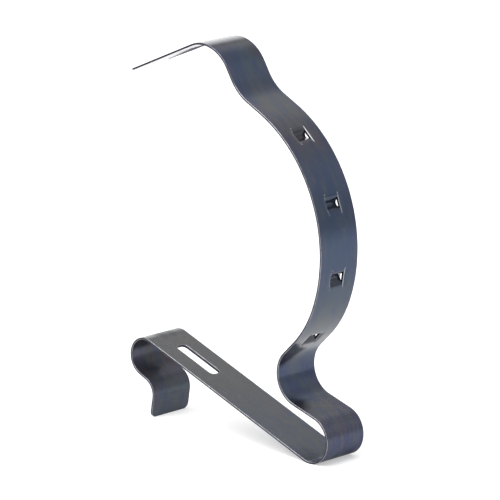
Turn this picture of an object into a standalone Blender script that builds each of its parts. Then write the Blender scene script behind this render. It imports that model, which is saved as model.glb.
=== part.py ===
"""Blued spring-steel grip clip: one bent strip, modelled as the clamped leg, the U bend that flexes and
the sprung arm with its row of lanced bridges. Metres, +Z up, the strip's width along Y."""
import math

import bmesh
import bpy

# ---- driving sizes, millimetres and degrees --------------------------------------------------------
MM = 0.001
STRIP_WIDTH = 20.0
STRIP_THICKNESS = 0.8
SEAM_GAP = 0.3            # open gap between neighbouring nodes of the one strip

LIP_HEADING = 80.5        # the strip starts at the lip's free end and runs upward from there
LIP_LENGTH = 8.2
LIP_CORNER = 2.4
LIP_BEND_RADIUS = 6.5     # centreline radii throughout
LIP_BEND_TURN = 76.3
LIP_TO_HOOK = 4.1
HOOK_RADIUS = 7.55
HOOK_TURN = -176.4
LEG_LENGTH = 89.3

U_RADIUS = 9.1
U_TURN = 183.4

ARM_ROOT_LENGTH = 11.9
S_RADIUS = 11.3
S_TURN = -119.5
BOW_ROOT_LENGTH = 6.7
LOW_BOW_RADIUS = 45.0
LOW_BOW_TURN = 25.4
BOW_RADIUS = 56.0
BOW_TURN = 84.8
BOW_TOP_LENGTH = 7.5
FLARE_RADIUS = 19.4
FLARE_TURN = -32.4
FLARE_LENGTH = 5.0
CREST_RADIUS = 15.4
CREST_TURN = 81.8
TAIL_LENGTH = 35.8
TAIL_CORNER = 0.8

SLOT_START = 7.0          # along the flat leg from the end of the hook bend
SLOT_LENGTH = 22.2
SLOT_WIDTH = 5.0
SLOT_MARGIN = 4.0

BRIDGE_COUNT = 4
BRIDGE_FIRST = 7.6        # middle of the lowest bridge, from the start of the straight above the S bend
BRIDGE_PITCH = 29.0
BRIDGE_LENGTH = 7.8
BRIDGE_WIDTH = 6.8
BRIDGE_DEPTH = 2.1        # how far the band is pushed to the hollow side
SLIT_WIDTH = 0.3

SMALL_STEP = 10.0         # degrees a facet turns in the tight bends
LARGE_STEP = 4.5          # and in the big bow

BLUED_STEEL = (0.075, 0.085, 0.115)


# ---- the centreline as a chain of straights and arcs -----------------------------------------------
class Strip:
    """Centreline in the XZ plane; every run is (start position, start heading, length, turn, step)."""

    def __init__(self):
        self.runs = []
        self.marks = {"start": 0.0}
        self.length = 0.0
        self.x = 0.0
        self.z = 0.0
        self.heading = math.radians(LIP_HEADING)

    def straight(self, length, mark):
        self.runs.append((self.length, self.x, self.z, self.heading, length, 0.0, 0.0))
        self.x += length * math.cos(self.heading)
        self.z += length * math.sin(self.heading)
        self.length += length
        self.marks[mark] = self.length

    def arc(self, radius, turn, step, mark):
        length = radius * math.radians(abs(turn))
        self.runs.append((self.length, self.x, self.z, self.heading, length, math.radians(turn), step))
        self.x, self.z = self.point(self.length + length)
        self.heading += math.radians(turn)
        self.length += length
        self.marks[mark] = self.length

    def run_at(self, s):
        chosen = self.runs[0]
        for run in self.runs:
            if run[0] <= s + 1e-9:
                chosen = run
        return chosen

    def heading_at(self, s):
        start, x, z, heading, length, turn, step = self.run_at(s)
        return heading + turn * (s - start) / length

    def point(self, s):
        start, x, z, heading, length, turn, step = self.run_at(s)
        along = s - start
        if abs(turn) < 1e-9:
            return x + along * math.cos(heading), z + along * math.sin(heading)
        radius = length / turn
        now = heading + turn * along / length
        return (x + radius * (math.sin(now) - math.sin(heading)),
                z - radius * (math.cos(now) - math.cos(heading)))

    def stations(self, low, high, extra=()):
        """Cross-section positions between two lengths: bend facets, run ends and any extra ones."""
        marks = {round(low, 6), round(high, 6)}
        for start, x, z, heading, length, turn, step in self.runs:
            count = 1
            if step > 0.0:
                count = max(1, round(abs(math.degrees(turn)) / step))
            for i in range(count + 1):
                s = start + length * i / count
                if low + 0.2 < s < high - 0.2:
                    marks.add(round(s, 6))
        for s in extra:
            marks = {m for m in marks if abs(m - s) > 0.7 or m in (round(low, 6), round(high, 6))}
        return sorted(marks | {round(s, 6) for s in extra})


def build_strip():
    strip = Strip()
    strip.straight(LIP_LENGTH, "lip_end")
    strip.arc(LIP_BEND_RADIUS, LIP_BEND_TURN, SMALL_STEP, "lip_bend_end")
    strip.straight(LIP_TO_HOOK, "hook_start")
    strip.arc(HOOK_RADIUS, HOOK_TURN, SMALL_STEP, "leg_start")
    strip.straight(LEG_LENGTH, "u_start")
    strip.arc(U_RADIUS, U_TURN, SMALL_STEP, "u_end")
    strip.straight(ARM_ROOT_LENGTH, "s_start")
    strip.arc(S_RADIUS, S_TURN, SMALL_STEP, "s_end")
    strip.straight(BOW_ROOT_LENGTH, "bow_start")
    strip.arc(LOW_BOW_RADIUS, LOW_BOW_TURN, LARGE_STEP, "bow_middle")
    strip.arc(BOW_RADIUS, BOW_TURN, LARGE_STEP, "bow_end")
    strip.straight(BOW_TOP_LENGTH, "flare_start")
    strip.arc(FLARE_RADIUS, FLARE_TURN, SMALL_STEP, "flare_end")
    strip.straight(FLARE_LENGTH, "crest_start")
    strip.arc(CREST_RADIUS, CREST_TURN, SMALL_STEP, "tail_start")
    strip.straight(TAIL_LENGTH, "tail_end")
    return strip


STRIP = build_strip()


def outline_extent():
    """Lowest and highest X and lowest Z of the thick strip, sampled finely."""
    xs = []
    zs = []
    for i in range(2001):
        s = STRIP.length * i / 2000
        x, z = STRIP.point(s)
        heading = STRIP.heading_at(s)
        for side in (-0.5, 0.5):
            xs.append(x - side * STRIP_THICKNESS * math.sin(heading))
            zs.append(z + side * STRIP_THICKNESS * math.cos(heading))
    return min(xs), max(xs), min(zs)


X_LOW, X_HIGH, Z_LOW = outline_extent()
X_MIDDLE = 0.5 * (X_LOW + X_HIGH)


def place(s, y, depth, side):
    """A point of the strip: length s, width y from the near edge, pushed by depth to the left side."""
    x, z = STRIP.point(s)
    heading = STRIP.heading_at(s)
    offset = depth + side * 0.5 * STRIP_THICKNESS
    x -= offset * math.sin(heading)
    z += offset * math.cos(heading)
    return ((x - X_MIDDLE) * MM, (y - 0.5 * STRIP_WIDTH) * MM, (z - Z_LOW) * MM)


# ---- a sheet drawn in (length, width) and given its thickness --------------------------------------
class Sheet:
    def __init__(self):
        self.points = []
        self.index = {}
        self.faces = []

    def vertex(self, s, y, depth=0.0, band=False):
        key = (round(s, 5), round(y, 5), band)
        if key not in self.index:
            self.index[key] = len(self.points)
            self.points.append((s, y, depth))
        return self.index[key]

    def face(self, corners):
        self.faces.append([self.vertex(*corner) for corner in corners])

    def solid(self, name, material):
        mesh = bmesh.new()
        low = [mesh.verts.new(place(s, y, depth, -1.0)) for s, y, depth in self.points]
        high = [mesh.verts.new(place(s, y, depth, 1.0)) for s, y, depth in self.points]
        edges = {}
        for face in self.faces:
            mesh.faces.new([high[i] for i in face])
            mesh.faces.new([low[i] for i in reversed(face)])
            for a, b in zip(face, face[1:] + face[:1]):
                edges[(a, b)] = edges.get((a, b), 0) + 1
        for a, b in edges:
            if (b, a) not in edges:
                mesh.faces.new([high[b], high[a], low[a], low[b]])
        bmesh.ops.recalc_face_normals(mesh, faces=mesh.faces)
        bmesh.ops.triangulate(mesh, faces=[f for f in mesh.faces if len(f.verts) > 4])
        data = bpy.data.meshes.new(name)
        mesh.to_mesh(data)
        mesh.free()
        item = bpy.data.objects.new(name, data)
        bpy.context.scene.collection.objects.link(item)
        data.materials.append(material)
        return item


def plain_run(sheet, stations, low_edge=None, high_edge=None):
    """Full-width cells between stations; low_edge and high_edge give extra width points on the ends."""
    for i in range(len(stations) - 1):
        a, b = stations[i], stations[i + 1]
        corners = [(a, 0.0), (b, 0.0)]
        if high_edge and i == len(stations) - 2:
            corners += [(b, y) for y in high_edge]
        corners += [(b, STRIP_WIDTH), (a, STRIP_WIDTH)]
        if low_edge and i == 0:
            corners += [(a, y) for y in reversed(low_edge)]
        sheet.face(corners)


def rounded_end(sheet, tip, inner, radius):
    """A flat end panel with both outer corners rounded."""
    sign = 1.0 if inner > tip else -1.0
    corners = [(inner, 0.0)]
    for i in range(5):
        angle = math.radians(22.5 * i)
        corners.append((tip + sign * radius * (1.0 - math.sin(angle)), radius * (1.0 - math.cos(angle))))
    for i in range(5):
        angle = math.radians(90.0 - 22.5 * i)
        corners.append((tip + sign * radius * (1.0 - math.sin(angle)),
                        STRIP_WIDTH - radius * (1.0 - math.cos(angle))))
    corners.append((inner, STRIP_WIDTH))
    if sign > 0.0:
        corners.reverse()
    sheet.face(corners)


def slot_panel(sheet, low, high, start, length, width):
    """The flat panel around a round-ended slot; returns the width points it leaves on its end edges."""
    count = 8
    middle = 0.5 * STRIP_WIDTH
    radius = 0.5 * width
    spread = [STRIP_WIDTH * i / count for i in range(count + 1)]
    head = []
    tail = []
    for i in range(count + 1):
        angle = math.radians(-90.0 + 180.0 * i / count)
        y = middle + radius * math.sin(angle)
        head.append((start + radius - radius * math.cos(angle), y))
        tail.append((start + length - radius + radius * math.cos(angle), y))
    for i in range(count):
        sheet.face([(low, spread[i]), head[i], head[i + 1], (low, spread[i + 1])])
        sheet.face([tail[i], (high, spread[i]), (high, spread[i + 1]), tail[i + 1]])
    sheet.face([(low, 0.0), (high, 0.0), tail[0], head[0]])
    sheet.face([head[-1], tail[-1], (high, STRIP_WIDTH), (low, STRIP_WIDTH)])
    return spread[1:-1]


def bridge_depth(share):
    """Depth of a bridge at a share (0 to 1) of its length: two smooth ramps."""
    return BRIDGE_DEPTH * math.sin(math.pi * share) ** 2


# ---- the three nodes -------------------------------------------------------------------------------
def slotted_leg(material):
    """Lip, hook and flat slotted leg."""
    marks = STRIP.marks
    sheet = Sheet()
    low = marks["leg_start"] + SLOT_START - SLOT_MARGIN
    high = marks["leg_start"] + SLOT_START + SLOT_LENGTH + SLOT_MARGIN
    rounded_end(sheet, 0.0, marks["lip_end"], LIP_CORNER)
    inner = slot_panel(sheet, low, high, marks["leg_start"] + SLOT_START, SLOT_LENGTH, SLOT_WIDTH)
    plain_run(sheet, STRIP.stations(marks["lip_end"], low), high_edge=inner)
    plain_run(sheet, [high, marks["u_start"] - 0.5 * SEAM_GAP], low_edge=inner)
    return sheet.solid("slotted_leg", material)


def u_bend(material):
    """The tight bend between leg and arm."""
    sheet = Sheet()
    low = STRIP.marks["u_start"] + 0.5 * SEAM_GAP
    high = STRIP.marks["u_end"] - 0.5 * SEAM_GAP
    plain_run(sheet, STRIP.stations(low, high))
    return sheet.solid("u_bend", material)


def bridged_arm(material):
    """S bend, big bow with the lanced bridges, crest and tail."""
    marks = STRIP.marks
    sheet = Sheet()
    steps = 8
    extra = []
    spans = []
    for i in range(BRIDGE_COUNT):
        middle = marks["s_end"] + BRIDGE_FIRST + BRIDGE_PITCH * i
        first = middle - 0.5 * BRIDGE_LENGTH
        spans.append((first, first + BRIDGE_LENGTH))
        extra += [first + BRIDGE_LENGTH * k / steps for k in range(steps + 1)]
    low = marks["u_end"] + 0.5 * SEAM_GAP
    high = marks["tail_start"]
    stations = STRIP.stations(low, high, extra)
    rim = [0.5 * (STRIP_WIDTH - BRIDGE_WIDTH), 0.5 * (STRIP_WIDTH + BRIDGE_WIDTH)]
    band = [rim[0] + SLIT_WIDTH, rim[1] - SLIT_WIDTH]
    for a, b in zip(stations, stations[1:]):
        span = [p for p in spans if p[0] - 1e-4 < a and b < p[1] + 1e-4]
        if span:
            begin, end = span[0]
            at_start = a - begin < 1e-4
            at_end = end - b < 1e-4
            sheet.face([(a, 0.0), (b, 0.0), (b, rim[0]), (a, rim[0])])
            sheet.face([(a, rim[1]), (b, rim[1]), (b, STRIP_WIDTH), (a, STRIP_WIDTH)])
            da = 0.0 if at_start else bridge_depth((a - begin) / BRIDGE_LENGTH)
            db = 0.0 if at_end else bridge_depth((b - begin) / BRIDGE_LENGTH)
            sheet.face([(a, band[0], da, True), (b, band[0], db, True),
                        (b, band[1], db, True), (a, band[1], da, True)])
            continue
        corners = [(a, 0.0), (b, 0.0)]
        if any(abs(b - p[0]) < 1e-4 for p in spans):
            corners += [(b, rim[0]), (b, band[0], 0.0, True), (b, band[1], 0.0, True), (b, rim[1])]
        corners += [(b, STRIP_WIDTH), (a, STRIP_WIDTH)]
        if any(abs(a - p[1]) < 1e-4 for p in spans):
            corners += [(a, rim[1]), (a, band[1], 0.0, True), (a, band[0], 0.0, True), (a, rim[0])]
        sheet.face(corners)
    rounded_end(sheet, marks["tail_end"], high, TAIL_CORNER)
    return sheet.solid("bridged_arm", material)


def steel(name, shade):
    material = bpy.data.materials.new(name)
    material.use_nodes = True
    shader = material.node_tree.nodes["Principled BSDF"]
    red, green, blue = BLUED_STEEL
    shader.inputs["Base Color"].default_value = (red * shade, green * shade, blue * shade, 1.0)
    shader.inputs["Metallic"].default_value = 1.0
    shader.inputs["Roughness"].default_value = 0.32
    return material


def main():
    for item in list(bpy.data.objects):
        bpy.data.objects.remove(item, do_unlink=True)
    slotted_leg(steel("blued_leg", 1.1))
    u_bend(steel("blued_bend", 0.9))
    bridged_arm(steel("blued_arm", 1.0))


main()
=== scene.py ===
"""Looks of the spring grip clip: one bent strip of blued spring steel, with four lanced bridges and one
slot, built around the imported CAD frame. Lengths in the shape section are millimetres along the strip
(s), across it (y, 0 at the near edge) and through it (n, positive on the left of the run)."""

import math

import bmesh
import bpy
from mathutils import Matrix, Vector


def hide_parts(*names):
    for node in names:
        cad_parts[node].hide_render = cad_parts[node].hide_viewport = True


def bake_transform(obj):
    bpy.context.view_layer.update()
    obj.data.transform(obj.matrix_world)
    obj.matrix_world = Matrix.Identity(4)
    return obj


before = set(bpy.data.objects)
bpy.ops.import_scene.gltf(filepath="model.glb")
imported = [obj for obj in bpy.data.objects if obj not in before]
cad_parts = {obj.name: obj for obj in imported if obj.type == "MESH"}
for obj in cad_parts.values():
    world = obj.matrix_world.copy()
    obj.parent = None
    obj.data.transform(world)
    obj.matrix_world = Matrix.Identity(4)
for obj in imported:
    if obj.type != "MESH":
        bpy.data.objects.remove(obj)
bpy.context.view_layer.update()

MM = 0.001

# ---- driving sizes, the same as the CAD part's ------------------------------------------------------
STRIP_WIDTH = 20.0
STRIP_THICKNESS = 0.8
LIP_HEADING = 80.5
LIP_CORNER = 2.4
TAIL_CORNER = 0.8
TIGHT_STEP = 2.0          # degrees between cross-sections, in bends below TIGHT_RADIUS and in the bow
BOW_STEP = 1.5
TIGHT_RADIUS = 30.0
STATION_GAP = 0.05        # least distance of a cross-section from the ends of its stretch
OUTLINE_SAMPLES = 2000
# (mark, length, radius, turn in degrees); a straight has no radius
RUNS = (
    ("lip_end", 8.2, 0.0, 0.0),
    ("lip_bend_end", 0.0, 6.5, 76.3),
    ("hook_start", 4.1, 0.0, 0.0),
    ("leg_start", 0.0, 7.55, -176.4),
    ("u_start", 89.3, 0.0, 0.0),
    ("u_end", 0.0, 9.1, 183.4),
    ("s_start", 11.9, 0.0, 0.0),
    ("s_end", 0.0, 11.3, -119.5),
    ("bow_start", 6.7, 0.0, 0.0),
    ("bow_middle", 0.0, 45.0, 25.4),
    ("bow_end", 0.0, 56.0, 84.8),
    ("flare_start", 7.5, 0.0, 0.0),
    ("flare_end", 0.0, 19.4, -32.4),
    ("crest_start", 5.0, 0.0, 0.0),
    ("tail_start", 0.0, 15.4, 81.8),
    ("tail_end", 35.8, 0.0, 0.0),
)
SLOT_START = 7.0
SLOT_LENGTH = 22.2
SLOT_WIDTH = 5.0
SLOT_MARGIN = 4.0
BRIDGE_COUNT = 4
BRIDGE_FIRST = 7.6
BRIDGE_PITCH = 29.0
BRIDGE_LENGTH = 7.8
BRIDGE_WIDTH = 6.8
BRIDGE_DEPTH = 2.1
SLIT_WIDTH = 0.08         # the lances are sheared with next to no clearance
BRIDGE_POWER = 3          # shape of a bridge's rise and fall along the strip

# ---- fine detail of the visual strip ----------------------------------------------------------------
RIM = 0.22                # rounding of the sheared edges: rolled over on one face, sharp on the other
SHARP_RIM = 0.07
LANCE_RIM = 0.30          # larger roll-over where the punch drew the sheet in
RIM_STEPS = 4
LANCE_END = 0.02          # share of a bridge's length at each end that keeps the plain rim
LEG_RIM_LEAD = 6.0        # the rolled rim starts to change face this far before the leg, over this length
LEG_RIM_BLEND = 8.0
LEG_RIM_LAG = 12.0        # and has changed back this far past the leg's end, over this length
LEG_RIM_RETURN = 10.0
ROLL_DEPTH = 0.30         # how far the sheet beside a bridge is drawn down, and how quickly that fades
ROLL_SPREAD = 0.75
ROLL_POWER = 0.8
TAIL_RISE = 1.42          # rise of the tail's far corner, and how much more per mm towards the crest
TAIL_RISE_SLOPE = 0.014
TAIL_LEAD = 1.0           # the rise starts this far before the tail, and is complete after TAIL_BLEND
TAIL_BLEND = 18.0
BURR_DEPTH = 0.75         # the tail's far edge is dragged down by the shear, least at the tip
BURR_TIP = 0.22
BURR_GROWTH = 20.0        # length from the tip over which it grows to its full depth
BURR_SPREAD = 0.32
LANCE_BURR = 0.37         # burr beside each bridge, on the face the bridge is pushed out of
LANCE_BURR_ENDS = 5.0     # it rises over one part in five at either end
PAINTED_SHADE_ENDS = 4.0           # the painted shade in a bridge's hollow grows over one part in four at either end
SLOT_BURR = 0.42          # the slot's punch left a burr under the sheet
SLOT_REACH = 0.1
SLOT_SQUARE = 0.68        # power under one that makes its ends a little squarer than half circles
SLOT_INSET = 0.4          # the slot starts a little later than the CAD's, and ends a little sooner
SLOT_SHORT = 0.6
STRAIGHT_STEP = 1.6
BRIDGE_STEPS = 26
LIP_CORNER_STEPS = 7
TAIL_CORNER_STEPS = 4
MITRE_LIMIT = 0.4
NORMAL_WEIGHT = 60
LANCE_GLINT_AND_RUB = 2.0           # the rims drawn in beside the bridges are rubbed bare and painted with highlights more than the rest
# rims rubbed bare and painted with highlights, by mark along the strip
GLINT_AND_RUBBED = (("start", 0.6), ("hook_start", 0.8), ("leg_start", 0.9), ("u_start", 0.9), ("s_start", 1.0),
          ("bow_end", 1.0), ("flare_end", 0.9), ("crest_start", 0.6), ("tail_start", 0.1), ("tail_end", 0.1))
NEAR = 1e-3               # places closer than this count as the same
TINY = 1e-9


class Centreline:
    """The bent strip's middle line in the XZ plane."""

    def __init__(self):
        self.runs = []
        self.marks = {"start": 0.0}
        x = z = s = 0.0
        heading = math.radians(LIP_HEADING)
        for mark, length, radius, turn in RUNS:
            turn = math.radians(turn)
            if radius:
                length = radius * abs(turn)
            self.runs.append((s, x, z, heading, length, turn, radius))
            s += length
            self.length = s
            x, z = self.point(s)
            heading += turn
            self.marks[mark] = s

    def run_at(self, s):
        """The straight or arc that holds a length."""
        chosen = self.runs[0]
        for run in self.runs:
            if run[0] <= s + TINY:
                chosen = run
        return chosen

    def heading_at(self, s):
        start, x, z, heading, length, turn, radius = self.run_at(s)
        return heading + turn * (s - start) / length

    def point(self, s):
        start, x, z, heading, length, turn, radius = self.run_at(s)
        along = s - start
        if abs(turn) < TINY:
            return x + along * math.cos(heading), z + along * math.sin(heading)
        curve = length / turn
        now = heading + turn * along / length
        return (x + curve * (math.sin(now) - math.sin(heading)),
                z - curve * (math.cos(now) - math.cos(heading)))

    def stations(self, low, high, extra=()):
        """Cross-section places between two lengths, evenly spread in every run."""
        marks = {round(low, 4), round(high, 4)}
        for start, x, z, heading, length, turn, radius in self.runs:
            if radius:
                step = TIGHT_STEP if radius < TIGHT_RADIUS else BOW_STEP
                count = math.ceil(abs(math.degrees(turn)) / step)
            else:
                count = math.ceil(length / STRAIGHT_STEP)
            for i in range(count + 1):
                s = start + length * i / count
                if low + STATION_GAP < s < high - STATION_GAP:
                    marks.add(round(s, 4))
        extra = {round(s, 4) for s in extra}
        fixed = extra | {round(low, 4), round(high, 4)}
        near = BRIDGE_LENGTH / BRIDGE_STEPS
        marks = {m for m in marks if m in fixed or all(abs(m - s) > near for s in extra)}
        return sorted(marks | extra)


LINE = Centreline()
MARK = LINE.marks


def outline_extent():
    """Lowest and highest X and lowest Z of the thick strip, sampled finely."""
    xs = []
    zs = []
    for i in range(OUTLINE_SAMPLES + 1):
        s = LINE.length * i / OUTLINE_SAMPLES
        x, z = LINE.point(s)
        heading = LINE.heading_at(s)
        for side in (-0.5, 0.5):
            xs.append(x - side * STRIP_THICKNESS * math.sin(heading))
            zs.append(z + side * STRIP_THICKNESS * math.cos(heading))
    return min(xs), max(xs), min(zs)


X_LOW, X_HIGH, Z_LOW = outline_extent()
X_MIDDLE = 0.5 * (X_LOW + X_HIGH)


def place(s, y, n):
    """Row-frame point, in metres, of a place on or in the strip."""
    s = min(max(s, 0.0), LINE.length)
    x, z = LINE.point(s)
    heading = LINE.heading_at(s)
    return Vector(((x - n * math.sin(heading) - X_MIDDLE) * MM,
                   (y - 0.5 * STRIP_WIDTH) * MM,
                   (z + n * math.cos(heading) - Z_LOW) * MM))


# ---- relief: bridges, the sheet drawn in beside them, and the tail's raised far edge with its burr ---
RIM_Y = (0.5 * (STRIP_WIDTH - BRIDGE_WIDTH), 0.5 * (STRIP_WIDTH + BRIDGE_WIDTH))
BAND_Y = (RIM_Y[0] + SLIT_WIDTH, RIM_Y[1] - SLIT_WIDTH)
BRIDGE_CENTRES = [MARK["s_end"] + BRIDGE_FIRST + BRIDGE_PITCH * i for i in range(BRIDGE_COUNT)]
SPANS = [(centre - 0.5 * BRIDGE_LENGTH, centre + 0.5 * BRIDGE_LENGTH) for centre in BRIDGE_CENTRES]


def bridge_share(s):
    """How far along its bridge a place is, from 0 to 1, or None."""
    for low, high in SPANS:
        if low - NEAR <= s <= high + NEAR:
            return min(1.0, max(0.0, (s - low) / (high - low)))
    return None


def smooth(t):
    t = min(1.0, max(0.0, t))
    return t * t * (3.0 - 2.0 * t)


def relief(s, y):
    """Offset of the whole sheet from its centreline at a place."""
    offset = 0.0
    share = bridge_share(s)
    if share is not None:
        if BAND_Y[0] - NEAR <= y <= BAND_Y[1] + NEAR:
            offset += BRIDGE_DEPTH * math.sin(math.pi * share) ** BRIDGE_POWER
        else:
            away = RIM_Y[0] - y if y < RIM_Y[0] + NEAR else y - RIM_Y[1]
            fade = math.exp(-(away / ROLL_SPREAD) ** 2)
            offset += ROLL_DEPTH * fade * math.sin(math.pi * share) ** ROLL_POWER
    to_tip = MARK["tail_end"] - s
    past_crest = smooth((s - MARK["tail_start"] + TAIL_LEAD) / TAIL_BLEND)
    offset -= (TAIL_RISE + TAIL_RISE_SLOPE * to_tip) * past_crest * y / STRIP_WIDTH
    burr = (BURR_TIP + (BURR_DEPTH - BURR_TIP) * smooth(to_tip / BURR_GROWTH)) * past_crest
    offset += burr * math.exp(-((STRIP_WIDTH - y) / BURR_SPREAD) ** 2)
    return offset


# ---- the sheet as a grid in (s, y) ------------------------------------------------------------------
# columns across half the strip, closest at its edge and at the bridges' slits
HALF_COLUMNS = (0.0, 0.32, 0.55, 0.9, 2.0, 3.4, 4.7, 5.5, 5.9, 6.2, RIM_Y[0], BAND_Y[0], 7.2, 7.6, 8.2, 9.0)
COLUMNS = [*HALF_COLUMNS, 0.5 * STRIP_WIDTH, *[STRIP_WIDTH - y for y in reversed(HALF_COLUMNS)]]
# rings from the panel's outline to the slot; the last gap stays wider than the rim's rounding
SLOT_LAYERS = (0.0, 0.05, 0.13, 0.27, 0.45, 0.61, 0.74, 0.84, 0.92, 1.0)


class Sheet:
    """The strip before it gets its thickness: places and the faces between them."""

    def __init__(self):
        self.spots = []
        self.index = {}
        self.faces = []

    def spot(self, s, y):
        key = (round(s, 3), round(y, 3))
        if key not in self.index:
            self.index[key] = len(self.spots)
            self.spots.append((s, y))
        return self.index[key]

    def face(self, corners):
        found = []
        for corner in corners:
            i = self.spot(*corner)
            if i not in found:
                found.append(i)
        if len(found) > 2:
            self.faces.append(found)

    def rows(self, rows, skip=None):
        """Cells between neighbouring rows of (s, y) places."""
        for a, b in zip(rows, rows[1:]):
            for j in range(len(a) - 1):
                if skip and skip(a[j], b[j]):
                    continue
                self.face([a[j], b[j], b[j + 1], a[j + 1]])

    def edges(self):
        """Open edges, with the sheet on their left."""
        used = set()
        for face in self.faces:
            used.update(zip(face, face[1:] + face[:1]))
        return [(a, b) for a, b in sorted(used) if (b, a) not in used]


def full_row(s):
    return [(s, y) for y in COLUMNS]


def corner_rows(tip, inward, radius, count):
    """Rows from a square-cut end with rounded corners, from the tip inward."""
    rows = []
    for i in range(count + 1):
        angle = math.radians(90.0 * (1.0 - i / count))
        inset = radius * (1.0 - math.cos(angle))
        s = tip + inward * radius * (1.0 - math.sin(angle))
        rows.append([(s, inset + (STRIP_WIDTH - 2.0 * inset) * y / STRIP_WIDTH) for y in COLUMNS])
    return rows


def squared(value):
    """A sine or cosine pushed outward, which turns a half circle into a squarer end."""
    return math.copysign(abs(value) ** SLOT_SQUARE, value)


def slot_grid(sheet, low, high):
    """Rings of cells from the panel's outline in to the round-ended slot."""
    start = MARK["leg_start"] + SLOT_START + SLOT_INSET
    length = SLOT_LENGTH - SLOT_SHORT
    radius = 0.5 * SLOT_WIDTH
    middle = 0.5 * STRIP_WIDTH
    sides = LINE.stations(low, high)
    turns = [math.pi * i / (len(COLUMNS) - 1) for i in range(len(COLUMNS))]
    outer = [(low, y) for y in reversed(COLUMNS)]
    inner = [(start + radius - radius * squared(math.sin(a)), middle + radius * squared(math.cos(a)))
             for a in turns]
    run = length - SLOT_WIDTH
    for s in sides[1:-1]:
        outer.append((s, 0.0))
        inner.append((start + radius + run * (s - low) / (high - low), middle - radius))
    outer += [(high, y) for y in COLUMNS]
    end = start + length
    inner += [(end - radius + radius * squared(math.sin(a)), middle - radius * squared(math.cos(a)))
              for a in turns]
    for s in reversed(sides[1:-1]):
        outer.append((s, STRIP_WIDTH))
        inner.append((start + radius + run * (s - low) / (high - low), middle + radius))
    rings = [[(o[0] + (i[0] - o[0]) * t, o[1] + (i[1] - o[1]) * t) for o, i in zip(outer, inner)]
             for t in SLOT_LAYERS]
    for a, b in zip(rings, rings[1:]):
        for j in range(len(a)):
            k = (j + 1) % len(a)
            sheet.face([a[j], a[k], b[k], b[j]])


def in_slit(a, b):
    """True for the cells of the slits beside the bridges."""
    beside = abs(a[1] - RIM_Y[0]) < NEAR or abs(a[1] - BAND_Y[1]) < NEAR
    middle = 0.5 * (a[0] + b[0])
    return beside and any(low < middle < high for low, high in SPANS)


def strip_sheet():
    """The whole strip: rounded lip, slotted panel, bow with its slits, and tail."""
    sheet = Sheet()
    slot_low = MARK["leg_start"] + SLOT_START - SLOT_MARGIN
    slot_high = MARK["leg_start"] + SLOT_START + SLOT_LENGTH + SLOT_MARGIN
    rows = [full_row(s) for s in LINE.stations(LIP_CORNER, slot_low)[1:]]
    sheet.rows(corner_rows(0.0, 1.0, LIP_CORNER, LIP_CORNER_STEPS) + rows)
    slot_grid(sheet, slot_low, slot_high)
    places = [low + (high - low) * i / BRIDGE_STEPS for low, high in SPANS for i in range(BRIDGE_STEPS + 1)]
    last = MARK["tail_end"] - TAIL_CORNER
    rows = [full_row(s) for s in LINE.stations(slot_high, last, places)]
    tip = corner_rows(MARK["tail_end"], -1.0, TAIL_CORNER, TAIL_CORNER_STEPS)
    sheet.rows(rows + tip[::-1][1:], in_slit)
    return sheet


def inward_directions(sheet, edges):
    """For each place on an open edge, the mitred direction into the sheet."""
    sides = {}
    for a, b in edges:
        (sa, ya), (sb, yb) = sheet.spots[a], sheet.spots[b]
        away = math.hypot(sb - sa, yb - ya)
        normal = (-(yb - ya) / away, (sb - sa) / away)
        sides.setdefault(a, []).append(normal)
        sides.setdefault(b, []).append(normal)
    inward = {}
    for i, normals in sides.items():
        p, q = normals[0], normals[-1]
        scale = 1.0 / max(MITRE_LIMIT, 1.0 + p[0] * q[0] + p[1] * q[1])
        inward[i] = ((p[0] + q[0]) * scale, (p[1] + q[1]) * scale)
    return inward


def rim_sizes(s, y):
    """Rounding of the rim on the right and on the left face; the leg is the other way up."""
    begun = smooth((s - MARK["leg_start"] + LEG_RIM_LEAD) / LEG_RIM_BLEND)
    on_leg = begun * smooth((MARK["u_start"] + LEG_RIM_LAG - s) / LEG_RIM_RETURN)
    right = RIM + (SHARP_RIM - RIM) * on_leg
    left = SHARP_RIM + (RIM - SHARP_RIM) * on_leg
    share = bridge_share(s)
    if share is not None and LANCE_END < share < 1.0 - LANCE_END:
        if abs(y - RIM_Y[0]) < NEAR or abs(y - RIM_Y[1]) < NEAR:
            return LANCE_RIM, SHARP_RIM
        if abs(y - BAND_Y[0]) < NEAR or abs(y - BAND_Y[1]) < NEAR:
            return SHARP_RIM, LANCE_RIM
    return right, left


def slot_burr(s, y):
    """Depth of the burr under a place on the slot's rim."""
    start = MARK["leg_start"] + SLOT_START
    beside = abs(y - 0.5 * STRIP_WIDTH) < SLOT_WIDTH
    return SLOT_BURR if beside and start - SLOT_REACH < s < start + SLOT_LENGTH + SLOT_REACH else 0.0


def lance_burr(s, y):
    """Height of the burr beside a bridge, on the face the bridge is pushed out of."""
    share = bridge_share(s)
    if share is None or min(abs(y - RIM_Y[0]), abs(y - RIM_Y[1])) > NEAR:
        return 0.0
    return LANCE_BURR * smooth(LANCE_BURR_ENDS * share) * smooth(LANCE_BURR_ENDS * (1.0 - share))


def band_painted_shade(s, y):
    """Share of the painted shade in the hollow of a bridge."""
    share = bridge_share(s)
    if share is None or not BAND_Y[0] - NEAR <= y <= BAND_Y[1] + NEAR:
        return 0.0
    return smooth(PAINTED_SHADE_ENDS * share) * smooth(PAINTED_SHADE_ENDS * (1.0 - share))


def glint_and_rubbing(s):
    """How far the rims are rubbed bare and painted with highlights, from place to place along the strip."""
    for (a, low), (b, high) in zip(GLINT_AND_RUBBED, GLINT_AND_RUBBED[1:]):
        if s <= MARK[b]:
            return low + (high - low) * (s - MARK[a]) / (MARK[b] - MARK[a])
    return GLINT_AND_RUBBED[-1][1]


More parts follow.
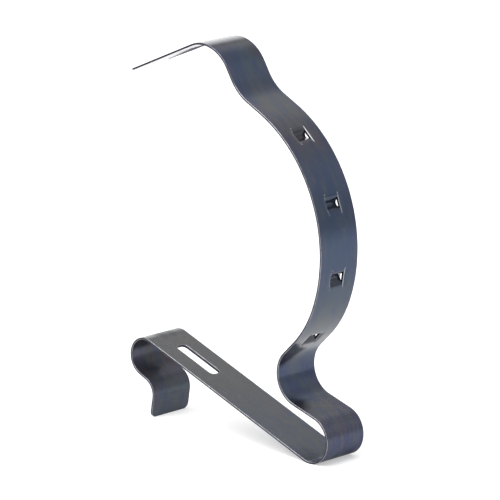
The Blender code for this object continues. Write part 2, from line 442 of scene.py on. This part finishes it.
def strip_object(name):
    """The sheet given its thickness, with every rim rounded and each point's place kept as attributes."""
    sheet = strip_sheet()
    edges = sheet.edges()
    inward = inward_directions(sheet, edges)
    mesh = bmesh.new()
    where = mesh.verts.layers.float_vector.new("strip_mm")
    rim_glint_and_wear = mesh.verts.layers.float.new("rim")
    wall = mesh.verts.layers.float.new("wall")
    painted_shade = mesh.verts.layers.float.new("painted_shade")
    half = 0.5 * STRIP_THICKNESS

    def add(s, y, n, on_rim=0.0, on_wall=0.0):
        vert = mesh.verts.new(place(s, y, n))
        vert[where] = Vector((s, y, n))
        vert[rim_glint_and_wear] = on_rim
        vert[wall] = on_wall
        # painted shade on the face inside each bridge's hollow
        hollow_side = n < relief(s, y) - 0.25 * STRIP_THICKNESS
        vert[painted_shade] = band_painted_shade(s, y) if hollow_side else 0.0
        return vert

    right = []
    left = []
    profiles = {}
    for i, (s, y) in enumerate(sheet.spots):
        offset = relief(s, y)
        if i not in inward:
            right.append(add(s, y, offset - half))
            left.append(add(s, y, offset + half))
            continue
        ds, dy = inward[i]
        sizes = rim_sizes(s, y)
        under = offset - half - slot_burr(s, y)
        over = offset + half + lance_burr(s, y)
        # rims painted brighter: partly rubbed bare steel, partly painted highlight
        glint_and_rubbed = [glint_and_rubbing(s) * (LANCE_GLINT_AND_RUB if size == LANCE_RIM else 1.0) for size in sizes]
        profile = []
        for side, face_n, into, steps in ((0, under, 1.0, range(RIM_STEPS + 1)),
                                          (1, over, -1.0, range(RIM_STEPS, -1, -1))):
            for k in steps:
                angle = math.radians(90.0 * k / RIM_STEPS)
                inset = sizes[side] * (1.0 - math.sin(angle))
                rise = sizes[side] * (1.0 - math.cos(angle))
                profile.append(add(s + ds * inset, y + dy * inset, face_n + into * rise,
                                   glint_and_rubbed[side] if k else 0.0, 1.0 if k == RIM_STEPS else 0.0))
        profiles[i] = profile
        right.append(profile[0])
        left.append(profile[-1])
    for face in sheet.faces:
        mesh.faces.new([left[i] for i in face])
        mesh.faces.new([right[i] for i in reversed(face)])
    for a, b in edges:
        for k in range(2 * RIM_STEPS + 1):
            mesh.faces.new([profiles[b][k + 1], profiles[a][k + 1], profiles[a][k], profiles[b][k]])
    for face in mesh.faces:
        face.smooth = True
    data = bpy.data.meshes.new(name)
    mesh.to_mesh(data)
    mesh.free()
    item = bpy.data.objects.new(name, data)
    bpy.context.scene.collection.objects.link(item)
    settle = item.modifiers.new("even_normals", "WEIGHTED_NORMAL")
    settle.mode = "FACE_AREA"
    settle.weight = NORMAL_WEIGHT
    return item


# ---- materials --------------------------------------------------------------------------------------
class Graph:
    """Small helper for wiring a node tree."""

    def __init__(self, tree):
        self.tree = tree
        tree.nodes.clear()

    def node(self, kind, **settings):
        made = self.tree.nodes.new(kind)
        for key, value in settings.items():
            setattr(made, key, value)
        return made

    def link(self, source, target):
        self.tree.links.new(source, target)

    def feed(self, socket, value):
        if isinstance(value, bpy.types.NodeSocket):
            self.link(value, socket)
        else:
            socket.default_value = value

    def attribute(self, name, output="Fac"):
        made = self.node("ShaderNodeAttribute", attribute_name=name, attribute_type="GEOMETRY")
        return made.outputs[output]

    def math(self, operation, a, b=0.0, clamp=False):
        made = self.node("ShaderNodeMath", operation=operation, use_clamp=clamp)
        self.feed(made.inputs[0], a)
        self.feed(made.inputs[1], b)
        return made.outputs[0]

    def length(self, vector):
        made = self.node("ShaderNodeVectorMath", operation="LENGTH")
        self.link(vector, made.inputs[0])
        return made.outputs["Value"]

    def stretch(self, vector, scale, shift=(0.0, 0.0, 0.0)):
        made = self.node("ShaderNodeMapping")
        self.link(vector, made.inputs["Vector"])
        made.inputs["Scale"].default_value = scale
        made.inputs["Location"].default_value = shift
        return made.outputs[0]

    def noise(self, vector, detail, rough, scale=1.0):
        made = self.node("ShaderNodeTexNoise")
        self.link(vector, made.inputs["Vector"])
        made.inputs["Scale"].default_value = scale
        made.inputs["Detail"].default_value = detail
        made.inputs["Roughness"].default_value = rough
        return made.outputs["Fac"]

    def spread(self, value, low, high, to_low=0.0, to_high=1.0):
        made = self.node("ShaderNodeMapRange", clamp=True)
        self.feed(made.inputs["Value"], value)
        made.inputs["From Min"].default_value = low
        made.inputs["From Max"].default_value = high
        made.inputs["To Min"].default_value = to_low
        made.inputs["To Max"].default_value = to_high
        return made.outputs["Result"]

    def mix(self, share, a, b, blend="MIX"):
        made = self.node("ShaderNodeMix", data_type="RGBA", blend_type=blend)
        self.feed(made.inputs["Factor"], share)
        for socket, value in ((made.inputs[6], a), (made.inputs[7], b)):
            self.feed(socket, value if isinstance(value, bpy.types.NodeSocket) else (*value, 1.0))
        return made.outputs[2]

    def ramp(self, value, stops):
        made = self.node("ShaderNodeValToRGB")
        self.feed(made.inputs["Fac"], value)
        items = made.color_ramp.elements
        while len(items) < len(stops):
            items.new(0.5)
        for item, (position, colour) in zip(items, stops):
            item.position = position
            item.color = (*colour, 1.0)
        return made.outputs["Color"]

    def levels(self, value, stops):
        """A ramp of plain numbers."""
        return self.ramp(value, [(position, (level, level, level)) for position, level in stops])

    def bump(self, height, strength, distance, normal=None):
        made = self.node("ShaderNodeBump")
        made.inputs["Strength"].default_value = strength
        made.inputs["Distance"].default_value = distance
        self.link(height, made.inputs["Height"])
        if normal is not None:
            self.link(normal, made.inputs["Normal"])
        return made.outputs["Normal"]


def principled(name):
    """A new material, with its graph and its one shader."""
    material = bpy.data.materials.new(name)
    material.use_nodes = True
    graph = Graph(material.node_tree)
    shader = graph.node("ShaderNodeBsdfPrincipled")
    output = graph.node("ShaderNodeOutputMaterial")
    graph.link(shader.outputs["BSDF"], output.inputs["Surface"])
    return material, graph, shader


def at(mark, other=None, part=0.0):
    """Share of the strip's length at a mark, or part of the way from it to another mark."""
    here = MARK[mark] / LINE.length
    return here if other is None else (1.0 - part) * here + part * MARK[other] / LINE.length


WHITE = (1.0, 1.0, 1.0)
# oxide tints, as reflectance looking straight at the surface
BLUE = (0.040, 0.058, 0.100)
INDIGO = (0.038, 0.048, 0.104)
VIOLET = (0.068, 0.065, 0.100)
MAUVE = (0.078, 0.072, 0.088)
TEAL = (0.058, 0.074, 0.088)
SLATE = (0.066, 0.074, 0.086)
NEUTRAL = (0.080, 0.081, 0.084)
PALE = (0.092, 0.092, 0.094)
BROWN = (0.064, 0.056, 0.052)
# painted dark reflection across the crest, not a tint of the oxide
CREST_PAINTED_DARK = (0.054, 0.051, 0.062)
SHEARED = (0.033, 0.029, 0.042)
# bright bare steel, also used as a painted highlight on the rims
BARE_AND_GLINT = (0.30, 0.31, 0.33)
# near black, for painted shade in the bridges' hollows and a painted dark reflection before the S-bend
PAINTED_DARK = (0.016, 0.016, 0.019)

# the tint after one dip in the bluing bath, along the strip
TINTS = (
    (at("start"), SLATE),
    (at("lip_end"), SLATE),
    (at("lip_bend_end"), MAUVE),
    (at("hook_start"), BROWN),
    (at("hook_start", "leg_start", 0.5), VIOLET),
    (at("hook_start", "leg_start", 0.65), PALE),
    (at("leg_start", "u_start", 0.2), PALE),
    (at("leg_start", "u_start", 0.4), NEUTRAL),
    (at("u_start"), SLATE),
    (at("u_start", "u_end", 0.6), VIOLET),
    (at("s_start"), NEUTRAL),
    (at("s_start", "s_end", 0.5), BLUE),
    (at("bow_start"), NEUTRAL),
    (at("bow_middle"), TEAL),
    (at("bow_middle", "bow_end", 0.3), BLUE),
    (at("bow_middle", "bow_end", 0.6), BLUE),
    (at("bow_middle", "bow_end", 0.8), MAUVE),
    (at("bow_end"), NEUTRAL),
    (at("flare_end"), BLUE),
    (at("crest_start"), BLUE),
    # painted dark reflection across the crest
    (at("crest_start", "tail_start", 0.45), CREST_PAINTED_DARK),
    (at("tail_start"), NEUTRAL),
)
# strength of the narrow blue streaks that run round the U-bend and the S-bend
STREAKED = (
    (at("u_start"), 0.0),
    (at("u_start", "u_end", 0.4), 0.65),
    (at("s_start"), 0.20),
    (at("s_start", "s_end", 0.5), 0.60),
    (at("bow_start"), 0.10),
)
# share of the patchy tint; the leg is the plainest part, above all next to the hook
MOTTLED = (
    (at("start"), 1.0),
    (at("start", "leg_start", 0.8), 1.0),
    (at("start", "leg_start", 0.95), 0.12),
    (at("leg_start", "u_start", 0.4), 0.15),
    (at("leg_start", "u_start", 0.7), 0.9),
    (at("u_start"), 1.0),
)
# roughness; the tight bends, where forming stretched the surface, are duller than the straights
DULLNESS = (
    (at("start"), 0.24),
    (at("lip_end"), 0.33),
    (at("lip_bend_end"), 0.33),
    (at("hook_start"), 0.32),
    (at("leg_start"), 0.30),
    (at("leg_start", "u_start", 0.2), 0.20),
    (at("u_start"), 0.24),
    (at("u_start", "u_end", 0.4), 0.31),
    (at("s_start"), 0.24),
    (at("s_end"), 0.20),
    (at("bow_middle"), 0.18),
    (at("bow_end"), 0.17),
    (at("tail_end"), 0.16),
)
# brightness of the oxide at a grazing angle
GRAZING = (
    (at("start"), 1.0),
    (at("hook_start"), 0.55),
    (at("hook_start", "leg_start", 0.65), 0.60),
    (at("leg_start"), 1.0),
    (at("leg_start", "u_start", 0.88), 1.0),
    (at("u_start", "u_end", 0.20), 0.15),
    (at("u_start", "u_end", 0.70), 0.70),
    (at("s_end"), 1.0),
)
# noise on the strip: scale along, across and through it, shift along and across, detail, roughness
PATTERNS = {
    "wander": ((0.035, 0.10, 0.9), (0.0, 0.0), 3.0, 0.55),
    "sway": ((0.09, 0.02, 0.5), (3.0, 47.0), 3.0, 0.6),
    "blotch": ((0.11, 0.42, 1.1), (7.0, 3.0), 4.0, 0.6),
    "cloud": ((0.12, 0.30, 1.3), (31.0, 11.0), 3.0, 0.55),
    "stain": ((0.14, 0.44, 1.7), (53.0, 29.0), 5.0, 0.62),
    "streak": ((0.15, 0.55, 0.8), (17.0, 71.0), 3.0, 0.55),
    "lines": ((0.05, 3.4, 3.0), (0.0, 0.0), 3.0, 0.6),
    "grain": ((0.9, 1.5, 1.5), (0.0, 0.0), 3.0, 0.6),
    "glint_and_rub": ((0.45, 1.2, 2.0), (0.0, 0.0), 4.0, 0.65),
    "smear": ((0.12, 0.35, 1.0), (90.0, 4.0), 3.0, 0.6),
    "wave": ((0.10, 0.16, 1.0), (13.0, 0.0), 1.0, 0.4),
}
# patches of another tint: the noise, where it begins and is full, how strong, and the tint
PATCHES = (
    ("blotch", 0.48, 0.62, 0.6, BLUE),
    ("cloud", 0.52, 0.66, 0.6, TEAL),
    ("stain", 0.56, 0.70, 0.55, MAUVE),
)
TINT_DRIFT = 9.0          # how far the tints wander along the strip, and the heavier oxide across it
EDGE_DRIFT = 2.4
EDGE_OXIDE = (5.5, 10.5, 0.55)      # it begins and is full this far from the middle, and its strength
STREAK_RANGE = (0.46, 0.60)
NOISE_RANGE = (0.3, 0.7)  # what the noise stays between, nearly everywhere
LINE_SHADE = (0.95, 1.05)
GRAIN_SHADE = (0.32, 0.68, 0.87, 1.13)
CALM = 0.65               # how much of the lines and the grain is lost away from the leg
GLINT_AND_RUB_SHARE = (0.38, 0.62, 0.35, 0.95)
SMEAR_ROUGHNESS = (-0.03, 0.04)
GRAIN_ROUGHNESS = (0.35, 0.7, -0.015, 0.03)
PAINTED_DARK_PATCH_AT = (172.0, 1.5)   # one painted dark reflection by the near edge, before the S-bend: its place, its half sizes, the share of them where it begins to fade, and its strength
PAINTED_DARK_PATCH_SIZE = (5.0, 5.5)   # sizes, the share of them where it begins to fade, and its strength
PAINTED_DARK_PATCH_CORE = 0.45
PAINTED_DARK_PATCH_STRENGTH = 0.7
HOLLOW_PAINTED_SHADE = 0.45        # strength of the painted shade in the hollows of the bridges
LEAST_ROUGHNESS = 0.08
OXIDE_METALLIC = 0.8
WAVE_BUMP = (0.25, 0.00008)         # strength, and depth in metres
LINE_BUMP = (0.2, 0.000004)


def blued_steel():
    """Blued spring steel: drifting oxide tints, rolling lines, dark sheared walls, and rims rubbed bare and
    painted with highlights.
    """
    material, graph, shader = principled("blued_spring_steel")
    strip = graph.attribute("strip_mm", "Vector")
    rim = graph.attribute("rim")
    wall = graph.attribute("wall")
    split = graph.node("ShaderNodeSeparateXYZ")
    graph.link(strip, split.inputs[0])

    def pattern(name):
        scale, shift, detail, rough = PATTERNS[name]
        return graph.noise(graph.stretch(strip, scale, (*shift, 0.0)), detail, rough)

    drift = graph.spread(pattern("wander"), *NOISE_RANGE, -TINT_DRIFT, TINT_DRIFT)
    share = graph.math("DIVIDE", graph.math("ADD", split.outputs["X"], drift), LINE.length)
    plain = graph.ramp(share, TINTS)
    # heavier oxide along the two long edges
    reach = graph.math("ABSOLUTE", graph.math("SUBTRACT", split.outputs["Y"], 0.5 * STRIP_WIDTH))
    sway = graph.spread(pattern("sway"), *NOISE_RANGE, -EDGE_DRIFT, EDGE_DRIFT)
    reach = graph.math("ADD", reach, sway)
    begins, full, strength = EDGE_OXIDE
    tint = graph.mix(graph.spread(reach, begins, full, 0.0, strength), plain, VIOLET)
    for name, begins, full, strength, colour in PATCHES:
        tint = graph.mix(graph.spread(pattern(name), begins, full, 0.0, strength), tint, colour)
    streaks = graph.spread(pattern("streak"), *STREAK_RANGE)
    tint = graph.mix(graph.math("MULTIPLY", streaks, graph.levels(share, STREAKED)), tint, INDIGO)
    mottled = graph.levels(share, MOTTLED)
    tint = graph.mix(mottled, plain, tint)

    # rolling lines and a fine grain, both fainter away from the leg
    lines = pattern("lines")
    grain = pattern("grain")
    shade = graph.spread(lines, *NOISE_RANGE, *LINE_SHADE)
    shade = graph.math("MULTIPLY", shade, graph.spread(grain, *GRAIN_SHADE))
    shade = graph.mix(graph.math("MULTIPLY", mottled, CALM), shade, WHITE)
    tint = graph.mix(1.0, tint, shade, "MULTIPLY")

    # painted dark reflection: one patch before the S-bend; painted shade: the hollows of the bridges
    # painted dark reflection: a near-black patch by the near edge where the S-bend begins
    scale = (1.0 / PAINTED_DARK_PATCH_SIZE[0], 1.0 / PAINTED_DARK_PATCH_SIZE[1], 0.0)
    shift = (-PAINTED_DARK_PATCH_AT[0] / PAINTED_DARK_PATCH_SIZE[0], -PAINTED_DARK_PATCH_AT[1] / PAINTED_DARK_PATCH_SIZE[1], 0.0)
    away = graph.length(graph.stretch(strip, scale, shift))
    tint = graph.mix(graph.spread(away, PAINTED_DARK_PATCH_CORE, 1.0, PAINTED_DARK_PATCH_STRENGTH, 0.0), tint, PAINTED_DARK)
    # painted shade in the hollows of the bridges
    tint = graph.mix(graph.math("MULTIPLY", graph.attribute("painted_shade"), HOLLOW_PAINTED_SHADE), tint, PAINTED_DARK)

    # the sheared wall is dark, and the rims beside it are brighter in places: partly rubbed bare steel,
    # partly painted highlight
    tint = graph.mix(wall, tint, SHEARED)
    glint_and_wear = graph.math("MULTIPLY", rim, graph.spread(pattern("glint_and_rub"), *GLINT_AND_RUB_SHARE))
    glint_and_wear = graph.math("MULTIPLY", glint_and_wear, graph.math("SUBTRACT", 1.0, wall), True)
    tint = graph.mix(glint_and_wear, tint, BARE_AND_GLINT)
    graph.link(tint, shader.inputs["Base Color"])

    shader.inputs["Metallic"].default_value = OXIDE_METALLIC
    smear = graph.spread(pattern("smear"), *NOISE_RANGE, *SMEAR_ROUGHNESS)
    rough = graph.math("ADD", graph.levels(share, DULLNESS), smear)
    rough = graph.math("ADD", rough, graph.spread(grain, *GRAIN_ROUGHNESS))
    graph.link(graph.math("MAXIMUM", rough, LEAST_ROUGHNESS), shader.inputs["Roughness"])
    graph.link(graph.levels(share, GRAZING), shader.inputs["Specular Tint"])

    # a faint waviness of the sheet, under the rolling lines and the grain
    waves = graph.bump(pattern("wave"), *WAVE_BUMP)
    graph.link(graph.bump(graph.math("ADD", lines, grain), *LINE_BUMP, waves), shader.inputs["Normal"])
    return material


FLOOR_GREYS = ((0.53, 0.53, 0.53), (0.55, 0.55, 0.55))
FLOOR_TOOTH = 9.0         # scale of the faint unevenness of its colour
FLOOR_PAINTED_FALLOFF = (0.55, 1.35, 0.76)     # painted shade: it darkens between these distances in metres, down to this share
FLOOR_GLOW = 0.42
FLOOR_ROUGHNESS = 0.9


def pale_floor():
    """A pale matt table with a faint glow of its own, and painted shade that darkens it gently far from the
    object.
    """
    material, graph, shader = principled("pale_floor")
    place_on = graph.node("ShaderNodeTexCoord").outputs["Object"]
    tooth = graph.noise(place_on, 3.0, 0.5, FLOOR_TOOTH)
    pale = graph.mix(graph.spread(tooth, *NOISE_RANGE), *FLOOR_GREYS)
    begins, full, least = FLOOR_PAINTED_FALLOFF
    # painted shade: colour and glow fall off with distance from the object
    fade = graph.spread(graph.length(place_on), begins, full, 1.0, least)
    graph.link(graph.mix(1.0, pale, fade, "MULTIPLY"), shader.inputs["Base Color"])
    graph.link(graph.math("MULTIPLY", fade, FLOOR_GLOW), shader.inputs["Emission Strength"])
    shader.inputs["Emission Color"].default_value = (*WHITE, 1.0)
    shader.inputs["Roughness"].default_value = FLOOR_ROUGHNESS
    shader.inputs["Specular IOR Level"].default_value = 0.0
    return material


# ---- the clip ---------------------------------------------------------------------------------------
clip = strip_object("blued_strip")
clip.data.materials.append(blued_steel())
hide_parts("slotted_leg", "u_bend", "bridged_arm")
leg_point = place(0.5 * (MARK["leg_start"] + MARK["u_start"]), 0.5 * STRIP_WIDTH, 0.5 * STRIP_THICKNESS)
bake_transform(clip)

# ---- studio -----------------------------------------------------------------------------------------
FLOOR_RADIUS = 8.0
FLOOR_SIDES = 64
scene = bpy.context.scene
ground = bmesh.new()
centre = ground.verts.new((0.0, 0.0, 0.0))
turns = [math.tau * i / FLOOR_SIDES for i in range(FLOOR_SIDES)]
ring = [ground.verts.new((FLOOR_RADIUS * math.cos(a), FLOOR_RADIUS * math.sin(a), 0.0)) for a in turns]
for i in range(FLOOR_SIDES):
    ground.faces.new((centre, ring[i], ring[(i + 1) % FLOOR_SIDES]))
floor_data = bpy.data.meshes.new("floor")
ground.to_mesh(floor_data)
ground.free()
floor = bpy.data.objects.new("floor", floor_data)
scene.collection.objects.link(floor)
floor_data.materials.append(pale_floor())

# (azimuth, elevation, cosine where a patch of the surroundings begins, cosine where it is full, change)
LIGHT_PATCHES = (
    (134.0, 14.0, 0.948, 0.985, 1.00),
    (125.0, 35.0, 0.9895, 0.998, -0.40),
    (111.0, 42.0, 0.950, 0.990, 0.12),
    (77.0, 45.0, 0.940, 0.990, -0.20),
    (44.0, 4.0, 0.930, 0.990, -0.22),
    (-95.0, 63.0, 0.780, 0.900, 4.40),
)


def soft_world():
    """Soft white surroundings: brighter and darker patches behind the object, a large soft lamp above."""
    world = bpy.data.worlds.new("studio")
    scene.world = world
    world.use_nodes = True
    graph = Graph(world.node_tree)
    output = graph.node("ShaderNodeOutputWorld")
    light = graph.node("ShaderNodeBackground")
    graph.link(light.outputs["Background"], output.inputs["Surface"])
    direction = graph.node("ShaderNodeTexCoord").outputs["Generated"]
    level = 1.0
    for azimuth, elevation, begins, full, change in LIGHT_PATCHES:
        a, e = math.radians(azimuth), math.radians(elevation)
        towards = graph.node("ShaderNodeVectorMath", operation="DOT_PRODUCT")
        graph.link(direction, towards.inputs[0])
        towards.inputs[1].default_value = (math.cos(a) * math.cos(e), math.sin(a) * math.cos(e), math.sin(e))
        level = graph.math("ADD", level, graph.spread(towards.outputs["Value"], begins, full, 0.0, change))
    graph.link(level, light.inputs["Strength"])
    light.inputs["Color"].default_value = (*WHITE, 1.0)


soft_world()

# ---- camera -----------------------------------------------------------------------------------------
CAMERA_AZIMUTH = 44.86
CAMERA_ELEVATION = 14.54
CAMERA_DISTANCE = 1.7314
CAMERA_LENS = 326.27
CAMERA_SENSOR = 36.0
CAMERA_CLIP = (0.05, 50.0)
CAMERA_TARGET = Vector((0.00256, 0.0, 0.07414))
side, rise = math.radians(CAMERA_AZIMUTH), math.radians(CAMERA_ELEVATION)
back = Vector((math.sin(side) * math.cos(rise), -math.cos(side) * math.cos(rise), math.sin(rise)))
camera_data = bpy.data.cameras.new("camera")
camera_data.lens = CAMERA_LENS
camera_data.sensor_width = CAMERA_SENSOR
camera_data.clip_start, camera_data.clip_end = CAMERA_CLIP
camera = bpy.data.objects.new("camera", camera_data)
camera.location = CAMERA_TARGET + back * CAMERA_DISTANCE
camera.rotation_mode = "QUATERNION"
camera.rotation_quaternion = (-back).to_track_quat("-Z", "Y")
scene.collection.objects.link(camera)
scene.camera = camera
scene.view_settings.view_transform = "Standard"
